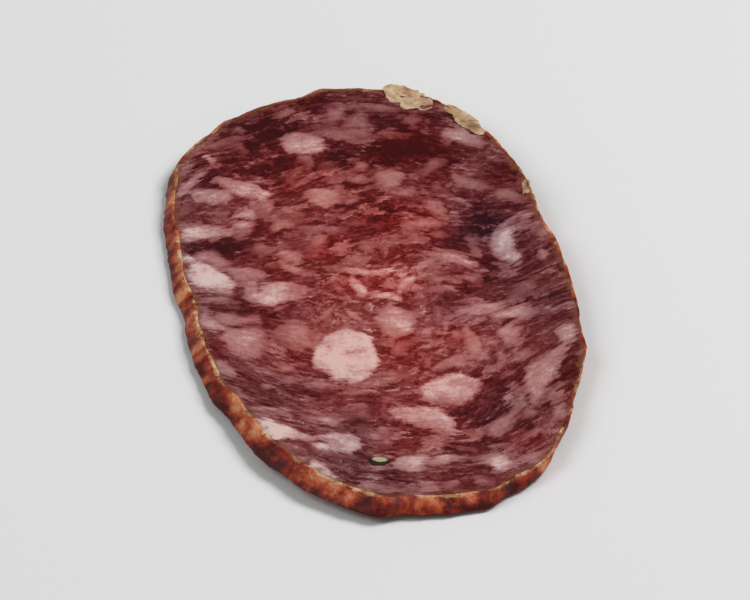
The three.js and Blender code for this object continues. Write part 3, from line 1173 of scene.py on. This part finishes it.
@dataclass(frozen=True)
class CrackedPepper:
    """Black pepper, cracked and cut: a pale green-cream heart inside a thin, dark, dull skin, drawn wider
    on the lower left as painted shadow.
    """

    name: str = "cracked_black_pepper"
    skin: str = "#2d2019"
    shell: str = "#705c40"
    heart: str = "#b3a684"

    def build(self) -> bpy.types.Material:
        """Make the material.

        Returns:
            The finished material.
        """
        bench = NodeBench(self.name)
        add = bench.add
        mm = bench.millimetres()
        (core,) = bench.kept("core")
        grain = add("ShaderNodeTexNoise", {"Vector": mm, "Scale": 2.4, "Detail": 4.0})
        edge = add("ShaderNodeMath", {0: grain, 1: 0.35, 2: core}, operation="MULTIPLY_ADD")
        # The skin's dark band is widest on the lower left, where it is painted shadow
        stops = [(0.36, self.skin), (0.46, self.shell), (0.56, self.heart)]
        colour = add("ShaderNodeValToRGB", {0: edge}, stops)
        bump = add("ShaderNodeBump", {"Strength": 0.7, "Distance": 0.1 * MM, "Height": grain})
        shader = add(
            "ShaderNodeBsdfPrincipled",
            {"Base Color": colour, "Roughness": 0.8, "Specular IOR Level": 0.15, "Normal": bump},
        )
        add("ShaderNodeOutputMaterial", {"Surface": shader})
        return bench.material


def store(mesh: bpy.types.Mesh, name: str, values: np.ndarray) -> None:
    """Keep one number for each point of a mesh, for its material to read.

    Args:
        mesh: the mesh.
        name: the attribute's name.
        values: one number for each point.
    """
    attribute = mesh.attributes.new(name, "FLOAT", "POINT")
    attribute.data.foreach_set("value", values.astype(np.float32))


def points_of(mesh: bpy.types.Mesh) -> np.ndarray:
    """Return a mesh's points as rows of X, Y and Z."""
    flat = np.zeros(len(mesh.vertices) * 3, np.float32)
    mesh.vertices.foreach_get("co", flat)
    return flat.reshape(-1, 3).astype(float)


def put_points(mesh: bpy.types.Mesh, points: np.ndarray) -> None:
    """Move a mesh's points to new places, given in millimetres."""
    mesh.vertices.foreach_set("co", (points * MM).astype(np.float32).ravel())
    mesh.update()


def mesh_from(shape: bmesh.types.BMesh, name: str) -> bpy.types.Mesh:
    """Turn a bmesh into a mesh and free it.

    Args:
        shape: the finished bmesh.
        name: the mesh's name, which the piece takes too.

    Returns:
        The mesh.
    """
    mesh = bpy.data.meshes.new(name)
    shape.to_mesh(mesh)
    shape.free()
    return mesh


def shown(mesh: bpy.types.Mesh, material: bpy.types.Material) -> bpy.types.Object:
    """Put a mesh in the scene under its own name, smooth and in its material.

    Args:
        mesh: the finished mesh.
        material: its material.

    Returns:
        The new object, at the origin.
    """
    mesh.polygons.foreach_set("use_smooth", [True] * len(mesh.polygons))
    mesh.materials.append(material)
    piece = bpy.data.objects.new(mesh.name, mesh)
    bpy.context.scene.collection.objects.link(piece)
    return piece


def square_to_disc(x: np.ndarray, y: np.ndarray) -> tuple[np.ndarray, np.ndarray]:
    """Map a square from -1 to 1 on to the unit disc, with cells of even size.

    Args:
        x: places across the square.
        y: places along it.

    Returns:
        The places on the disc.
    """
    wide = np.abs(x) >= np.abs(y)
    radius = np.where(wide, x, y)
    safe = np.where(np.abs(radius) < 1e-9, 1.0, radius)
    turn = np.where(wide, math.pi / 4 * y / safe, math.pi / 2 - math.pi / 4 * x / safe)
    return radius * np.cos(turn), radius * np.sin(turn)


@dataclass
class MeatDisc:
    """The meat and fat: a fine grid for the top face, a coarser one below, and the wall between them."""

    form: SliceForm
    marbling: Marbling
    top_steps: tuple[int, int] = (192, 344)
    wall_levels: tuple[float, ...] = (0.97, 0.75, 0.45, 0.15)

    # Millimetres that fat stands proud of the lean, and the height of the lean's grain
    fat_rise: float = 0.13
    lean_grain: float = 0.035

    # How far the form is moved across and along so that its middle is the CAD solid's
    offset: tuple[float, float] = (0.0, 0.0)

    def grid(self) -> bmesh.types.BMesh:
        """Make the closed square slab, whose Z holds each point's level.

        Returns:
            The slab, from 0 at the underside to 1 at the top face.
        """
        slab = bmesh.new()
        across, along = self.top_steps
        lifted = Matrix.Translation((0, 0, 1))
        bmesh.ops.create_grid(slab, x_segments=across, y_segments=along, size=1.0, matrix=lifted)
        rim = [edge for edge in slab.edges if edge.is_boundary]
        level = 1.0
        for next_level in self.wall_levels:
            made = bmesh.ops.extrude_edge_only(slab, edges=rim)
            corners = {item for item in made["geom"] if isinstance(item, bmesh.types.BMVert)}
            bmesh.ops.translate(slab, verts=list(corners), vec=(0, 0, next_level - level))
            edges = [item for item in made["geom"] if isinstance(item, bmesh.types.BMEdge)]
            rim = [edge for edge in edges if all(corner in corners for corner in edge.verts)]
            level = next_level
        base = bmesh.ops.create_grid(slab, x_segments=across // 2, y_segments=along // 2, size=1.0)
        base_faces = list({face for corner in base["verts"] for face in corner.link_faces})
        bmesh.ops.reverse_faces(slab, faces=base_faces)
        base_rim = list({edge for face in base_faces for edge in face.edges if edge.is_boundary})
        bmesh.ops.bridge_loops(slab, edges=rim + base_rim)
        return slab

    def relief(self, x: np.ndarray, y: np.ndarray, fat: np.ndarray, rim: np.ndarray) -> np.ndarray:
        """Return the top face's relief: fat stands proud and lean is grainy, except under the casing's lip.

        Args:
            x: places across the slice.
            y: places along it.
            fat: depth inside the fat at each place.
            rim: distance inside the rim.

        Returns:
            Height above the mean face.
        """
        proud = self.fat_rise * smooth_step(fat, -0.25, 0.9)
        lean = 1 - smooth_step(fat, -0.2, 0.2)
        grain = self.lean_grain * lean * (Ripple(1.6, 21).at(x, y) + 0.7 * Ripple(0.9, 22).at(x, y))
        return self.form.knife(x, y) + (proud + grain) * smooth_step(rim, 0.3, 1.3)

    def build(self, centre: Vector, material: bpy.types.Material) -> bpy.types.Object:
        """Shape the slab into the slice.

        Args:
            centre: the middle of the CAD solid's box.
            material: the marbled meat.

        Returns:
            The finished piece.
        """
        mesh = mesh_from(self.grid(), "slice_meat")
        points = points_of(mesh)
        level = points[:, 2]
        u, v = square_to_disc(points[:, 0], points[:, 1])
        x, y = self.form.place(u, v, level)
        board = self.marbling.board
        kept = {name: board.look_up(values, x, y) for name, values in self.marbling.fields.items()}
        kept["rim"] = self.form.rim_distance(u, v)
        relief = self.relief(x, y, kept["fat"], kept["rim"])
        height = level * (self.form.thickness + relief) + self.form.curl(x, y)
        self.offset = (
            centre.x / MM - (x.min() + x.max()) / 2,
            centre.y / MM - (y.min() + y.max()) / 2,
        )
        put_points(mesh, np.column_stack([x + self.offset[0], y + self.offset[1], height]))
        for name, values in kept.items():
            store(mesh, name, values)
        return shown(mesh, material)


@dataclass
class Casing:
    """The dried skin round the wall: a thin closed band with a lip that stands just above the cut face."""

    form: SliceForm
    marbling: Marbling
    offset: tuple[float, float]
    steps: int = 1500
    seed: int = 31

    # What a millimetre outward adds to the radius while the section is spun round the unit circle
    spun_mm: float = 0.01

    # Section of the band: millimetres out from the wall, and level as a share of the thickness
    section: tuple[tuple[float, float], ...] = (
        (-0.08, 0.0),
        (0.08, 0.01),
        (0.16, 0.10),
        (0.21, 0.32),
        (0.22, 0.58),
        (0.18, 0.84),
        (0.12, 0.98),
        (0.0, 1.05),
        (-0.18, 1.06),
        (-0.34, 1.04),
        (-0.42, 0.9),
        (-0.2, 0.5),
        (-0.2, 0.08),
    )

    def ring(self) -> bmesh.types.BMesh:
        """Spin the section into a closed ring round the unit circle.

        Returns:
            The ring, with its levels as heights.
        """
        ring = bmesh.new()
        corners = [ring.verts.new((1 + out * self.spun_mm, 0, level)) for out, level in self.section]
        loop = [ring.edges.new((a, b)) for a, b in zip(corners, corners[1:] + corners[:1])]
        bmesh.ops.spin(
            ring,
            geom=corners + loop,
            cent=(0, 0, 0),
            axis=(0, 0, 1),
            angle=math.tau,
            steps=self.steps,
            use_merge=True,
        )
        bmesh.ops.recalc_face_normals(ring, faces=ring.faces)
        return ring

    def crinkled(self, out: np.ndarray, level: np.ndarray, x: np.ndarray, y: np.ndarray) -> np.ndarray:
        """Crinkle the skin, lift it off the wall in places, and make its lip wider here and narrower there.

        Args:
            out: how far out from the wall each point is.
            level: each point's level.
            x: each point's place on the wall, across the slice.
            y: the same along it.

        Returns:
            How far out each point comes to be.
        """
        crinkle = Ripple(2.6, self.seed).at(x, y) + 0.6 * Ripple(1.1, self.seed + 1).at(x, y + level * 0.8)
        lifted = np.maximum(Ripple(14, self.seed + 2).at(x, y) - 0.9, 0)
        out = out + (out > 0) * (0.05 * crinkle + 0.2 * lifted)
        narrowed = np.clip(0.6 + 0.5 * Ripple(6, self.seed + 5).at(x, y), 0.1, 1.2)
        on_the_lip = (out < -0.21) | ((out < -0.1) & (level > 1))
        return np.where(on_the_lip, out * narrowed, out)

    def build(self, material: bpy.types.Material) -> bpy.types.Object:
        """Fit the ring round the slice's wall.

        Args:
            material: the dried casing.

        Returns:
            The finished piece.
        """
        mesh = mesh_from(self.ring(), "slice_casing")
        points = points_of(mesh)
        angle = np.arctan2(points[:, 1], points[:, 0])
        out = (np.hypot(points[:, 0], points[:, 1]) - 1) / self.spun_mm
        level = points[:, 2]
        x, y = self.form.place(np.cos(angle), np.sin(angle), level)
        fat = self.marbling.board.look_up(self.marbling.fields["fat"], x, y)
        out = self.crinkled(out, level, x, y)
        ragged = 0.02 * Ripple(1.8, self.seed + 3).at(x, y) + 0.02 * Ripple(6.5, self.seed + 4).at(x, y)
        ragged_level = level + np.where(level > 0.95, ragged, 0)
        nx, ny = self.form.wall_normal(angle)
        x = x + nx * out
        y = y + ny * out
        height = ragged_level * (self.form.thickness + self.form.knife(x, y)) + self.form.curl(x, y)
        height = np.maximum(height, 0)
        put_points(mesh, np.column_stack([x + self.offset[0], y + self.offset[1], height]))
        store(mesh, "fat", fat)
        store(mesh, "level", level)
        return shown(mesh, material)


@dataclass(frozen=True)
class Flake:
    """One shred of casing.

    It has a place round the rim in degrees, half its length, its width, how far out from the rim its inner
    edge is, how far it lifts off the face and how much more at its free edge, and how much it slants.
    """

    turn: float
    half_length: float
    width: float
    out: float
    lift: float
    tilt: float
    slant: float


@dataclass
class CasingFlakes:
    """Shreds of casing that the knife tore loose along the rim."""

    form: SliceForm
    offset: tuple[float, float]
    flakes: tuple[Flake, ...] = (
        Flake(62, 4.6, 4.8, -3.0, 0.14, 0.1, 1.4),
        Flake(46, 4.2, 3.0, -1.9, 0.1, 0.0, 0.4),
        Flake(22, 1.7, 1.3, -1.1, 0.06, 0.0, 0.5),
    )
    thickness: float = 0.1
    wave: float = 0.08
    steps: tuple[int, int] = (60, 16)
    seed: int = 55

    def build(self, material: bpy.types.Material) -> bpy.types.Object:
        """Make all the shreds as one piece.

        Args:
            material: the loose casing.

        Returns:
            The finished piece.
        """
        joined = bmesh.new()
        for index, flake in enumerate(self.flakes):
            sheet = bmesh.new()
            bmesh.ops.create_grid(sheet, x_segments=self.steps[0], y_segments=self.steps[1], size=1.0)
            for corner in sheet.verts:
                corner.co = self.bend(flake, corner.co.x, corner.co.y, self.seed + 10 * index)
            bmesh.ops.recalc_face_normals(sheet, faces=sheet.faces)
            bmesh.ops.solidify(sheet, geom=sheet.faces, thickness=self.thickness)
            bmesh.ops.recalc_face_normals(sheet, faces=sheet.faces)
            part = mesh_from(sheet, f"flake_{index}")
            joined.from_mesh(part)
            bpy.data.meshes.remove(part)
        mesh = mesh_from(joined, "casing_flakes")
        put_points(mesh, points_of(mesh))
        return shown(mesh, material)

    def bend(self, flake: Flake, along: float, across: float, seed: int) -> Vector:
        """Place one point of a shred.

        Args:
            flake: the shred.
            along: place along it, from -1 to 1.
            across: place across it, from -1 at the slice to 1 at its free edge.
            seed: the seed of its ragged edge.

        Returns:
            The point in millimetres.
        """
        middle = math.radians(flake.turn)
        across_reach = self.form.half_width * math.sin(middle)
        along_reach = self.form.half_length * math.cos(middle)
        radius = math.hypot(across_reach, along_reach)
        angle = np.array([middle + along * flake.half_length / radius])
        side = 0.3 if across > 0 else 5.3
        ragged = 0.82 + 0.16 * Ripple(0.9, seed).value(along, side)
        ragged += 0.08 * Ripple(0.22, seed + 2).value(along, side)
        taper = max(0.0, 1 - abs(along) ** 2.4) ** 0.5
        free = 0.5 + across / 2 * ragged * taper
        x, y = self.form.place(np.cos(angle), np.sin(angle), np.ones(1))
        nx, ny = self.form.wall_normal(angle)
        out = flake.out + flake.slant * along + flake.width * free
        x, y = x + nx * out, y + ny * out
        top = self.form.thickness + float(self.form.curl(x, y)[0])
        at_x, at_y = float(x[0]), float(y[0])
        wave = self.wave * Ripple(3.0, seed + 1).value(at_x, at_y)
        height = top + flake.lift + flake.tilt * free + wave
        return Vector((at_x + self.offset[0], at_y + self.offset[1], height))


@dataclass(frozen=True)
class Corn:
    """One cut peppercorn: centre, half length, half width, and turn in degrees."""

    x: float
    y: float
    half_long: float
    half_wide: float
    turn: float


@dataclass
class Peppercorns:
    """Cracked pepper in the cut face, sliced nearly flush by the knife, so it stands only just proud."""

    form: SliceForm
    offset: tuple[float, float]
    corns: tuple[Corn, ...] = (Corn(-6.1, -36.8, 1.35, 1.1, -12),)
    proud: float = 0.16
    sunk: float = 0.5

    def build(self, material: bpy.types.Material) -> bpy.types.Object:
        """Make all the peppercorns as one piece.

        Args:
            material: the cracked pepper.

        Returns:
            The finished piece.
        """
        joined = bmesh.new()
        for corn in self.corns:
            made = bmesh.ops.create_uvsphere(joined, u_segments=40, v_segments=24, radius=1.0)
            for corner in made["verts"]:
                corner.co = self.fit(corn, corner.co)
        mesh = mesh_from(joined, "peppercorns")
        points = points_of(mesh)
        core = np.zeros(len(points))
        for corn in self.corns:
            turn = math.radians(corn.turn)
            dx = points[:, 0] - corn.x - self.offset[0]
            dy = points[:, 1] - corn.y - self.offset[1]
            along = (dx * math.cos(turn) + dy * math.sin(turn)) / corn.half_long
            across = (dy * math.cos(turn) - dx * math.sin(turn)) / corn.half_wide
            # The heart sits off centre, so the dark skin is wider on the lower left: painted shadow
            core = np.maximum(core, 1 - np.hypot(along - 0.1, 1.3 * across - 0.42))
        put_points(mesh, points)
        store(mesh, "core", core)
        return shown(mesh, material)

    def fit(self, corn: Corn, point: Vector) -> Vector:
        """Squash one point of a unit ball into a cut peppercorn that sits in the face.

        Args:
            corn: the peppercorn.
            point: the point on the unit ball.

        Returns:
            The point in millimetres.
        """
        turn = math.radians(corn.turn)
        around = math.atan2(point.y, point.x)
        lumpy = 1 + 0.1 * math.sin(3 * around + corn.x) + 0.06 * math.sin(5 * around)
        along = point.x * corn.half_long * lumpy
        across = point.y * corn.half_wide * lumpy
        x = corn.x + along * math.cos(turn) - across * math.sin(turn)
        y = corn.y + along * math.sin(turn) + across * math.cos(turn)
        at_x, at_y = np.array([x]), np.array([y])
        face = self.form.thickness + float((self.form.knife(at_x, at_y) + self.form.curl(at_x, at_y))[0])
        rise = self.proud * math.tanh(2.5 * point.z) if point.z > 0 else self.sunk * point.z
        return Vector((x + self.offset[0], y + self.offset[1], face + rise))


@dataclass(frozen=True)
class SoftBox:
    """One square soft light aimed at the slice: its place and side in metres, and its power in watts."""

    name: str
    place: tuple[float, float, float]
    side: float
    power: float

    def hang(self) -> None:
        """Put the light in the scene."""
        data = bpy.data.lights.new(self.name, "AREA")
        data.size = self.side
        data.energy = self.power
        lamp = bpy.data.objects.new(self.name, data)
        lamp.location = self.place
        lamp.rotation_euler = (-Vector(self.place)).to_track_quat("-Z", "Y").to_euler()
        bpy.context.scene.collection.objects.link(lamp)


@dataclass
class Studio:
    """The pale floor, the soft lights and the camera at the photograph's angle, in degrees and metres."""

    azimuth: float = -10.5
    elevation: float = 35.0
    distance: float = 0.95
    lens: float = 350.0
    aim: tuple[float, float, float] = (0.0, 0.0, 0.001)
    floor_colour: str = "#e6e6e6"
    floor_side: float = 3.0
    sky: float = 0.22
    lights: tuple[SoftBox, ...] = (
        SoftBox("key", (0.75, 0.1, 0.85), 0.55, 9.5),
        SoftBox("fill", (-0.75, -0.05, 0.75), 0.7, 3.6),
    )

    def floor(self) -> None:
        """Lay the floor: matt paint, pale and even, so that the slice alone has colour."""
        bench = NodeBench("studio_floor")
        shader = bench.add(
            "ShaderNodeBsdfPrincipled",
            {"Base Color": linear(self.floor_colour), "Roughness": 0.7, "Specular IOR Level": 0.2},
        )
        bench.add("ShaderNodeOutputMaterial", {"Surface": shader})
        sheet = bmesh.new()
        bmesh.ops.create_grid(sheet, x_segments=1, y_segments=1, size=self.floor_side)
        shown(mesh_from(sheet, "studio_floor"), bench.material)

    def camera(self) -> None:
        """Set the camera at the photograph's angle."""
        data = bpy.data.cameras.new("view")
        data.lens = self.lens
        data.clip_start = 0.01
        camera = bpy.data.objects.new("view", data)
        turn, rise = math.radians(self.azimuth), math.radians(self.elevation)
        level = math.cos(rise)
        back = Vector((math.sin(turn) * level, -math.cos(turn) * level, math.sin(rise)))
        camera.location = Vector(self.aim) + back * self.distance
        camera.rotation_euler = (-back).to_track_quat("-Z", "Y").to_euler()
        bpy.context.scene.collection.objects.link(camera)
        bpy.context.scene.camera = camera

    def build(self) -> None:
        """Set the whole studio."""
        scene = bpy.context.scene
        scene.view_settings.view_transform = "Standard"
        world = bpy.data.worlds.new("studio")
        world.use_nodes = True
        background = world.node_tree.nodes["Background"]
        background.inputs["Color"].default_value = (1, 1, 1, 1)
        background.inputs["Strength"].default_value = self.sky
        scene.world = world
        self.floor()
        for light in self.lights:
            light.hang()
        self.camera()


def main() -> None:
    """Build the slice and its studio."""
    logging.basicConfig(level=logging.INFO, format="%(message)s")
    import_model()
    low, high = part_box(NODE)
    form = SliceForm()
    marbling = Marbling(form)
    LOG.info("%d pieces of fat", len(marbling.lumps))
    disc = MeatDisc(form, marbling)
    meat = disc.build((low + high) / 2, MarbledMeat().build())
    casing = Casing(form, marbling, disc.offset).build(DriedCasing().build())
    flakes = CasingFlakes(form, disc.offset).build(TornCasing().build())
    pepper = Peppercorns(form, disc.offset).build(CrackedPepper().build())
    for piece in (meat, casing, flakes, pepper):
        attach(piece, BODY)
        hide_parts(NODE)
        LOG.info("%s: %d faces", piece.name, len(piece.data.polygons))
    Studio().build()


if __name__ == "__main__":
    main()
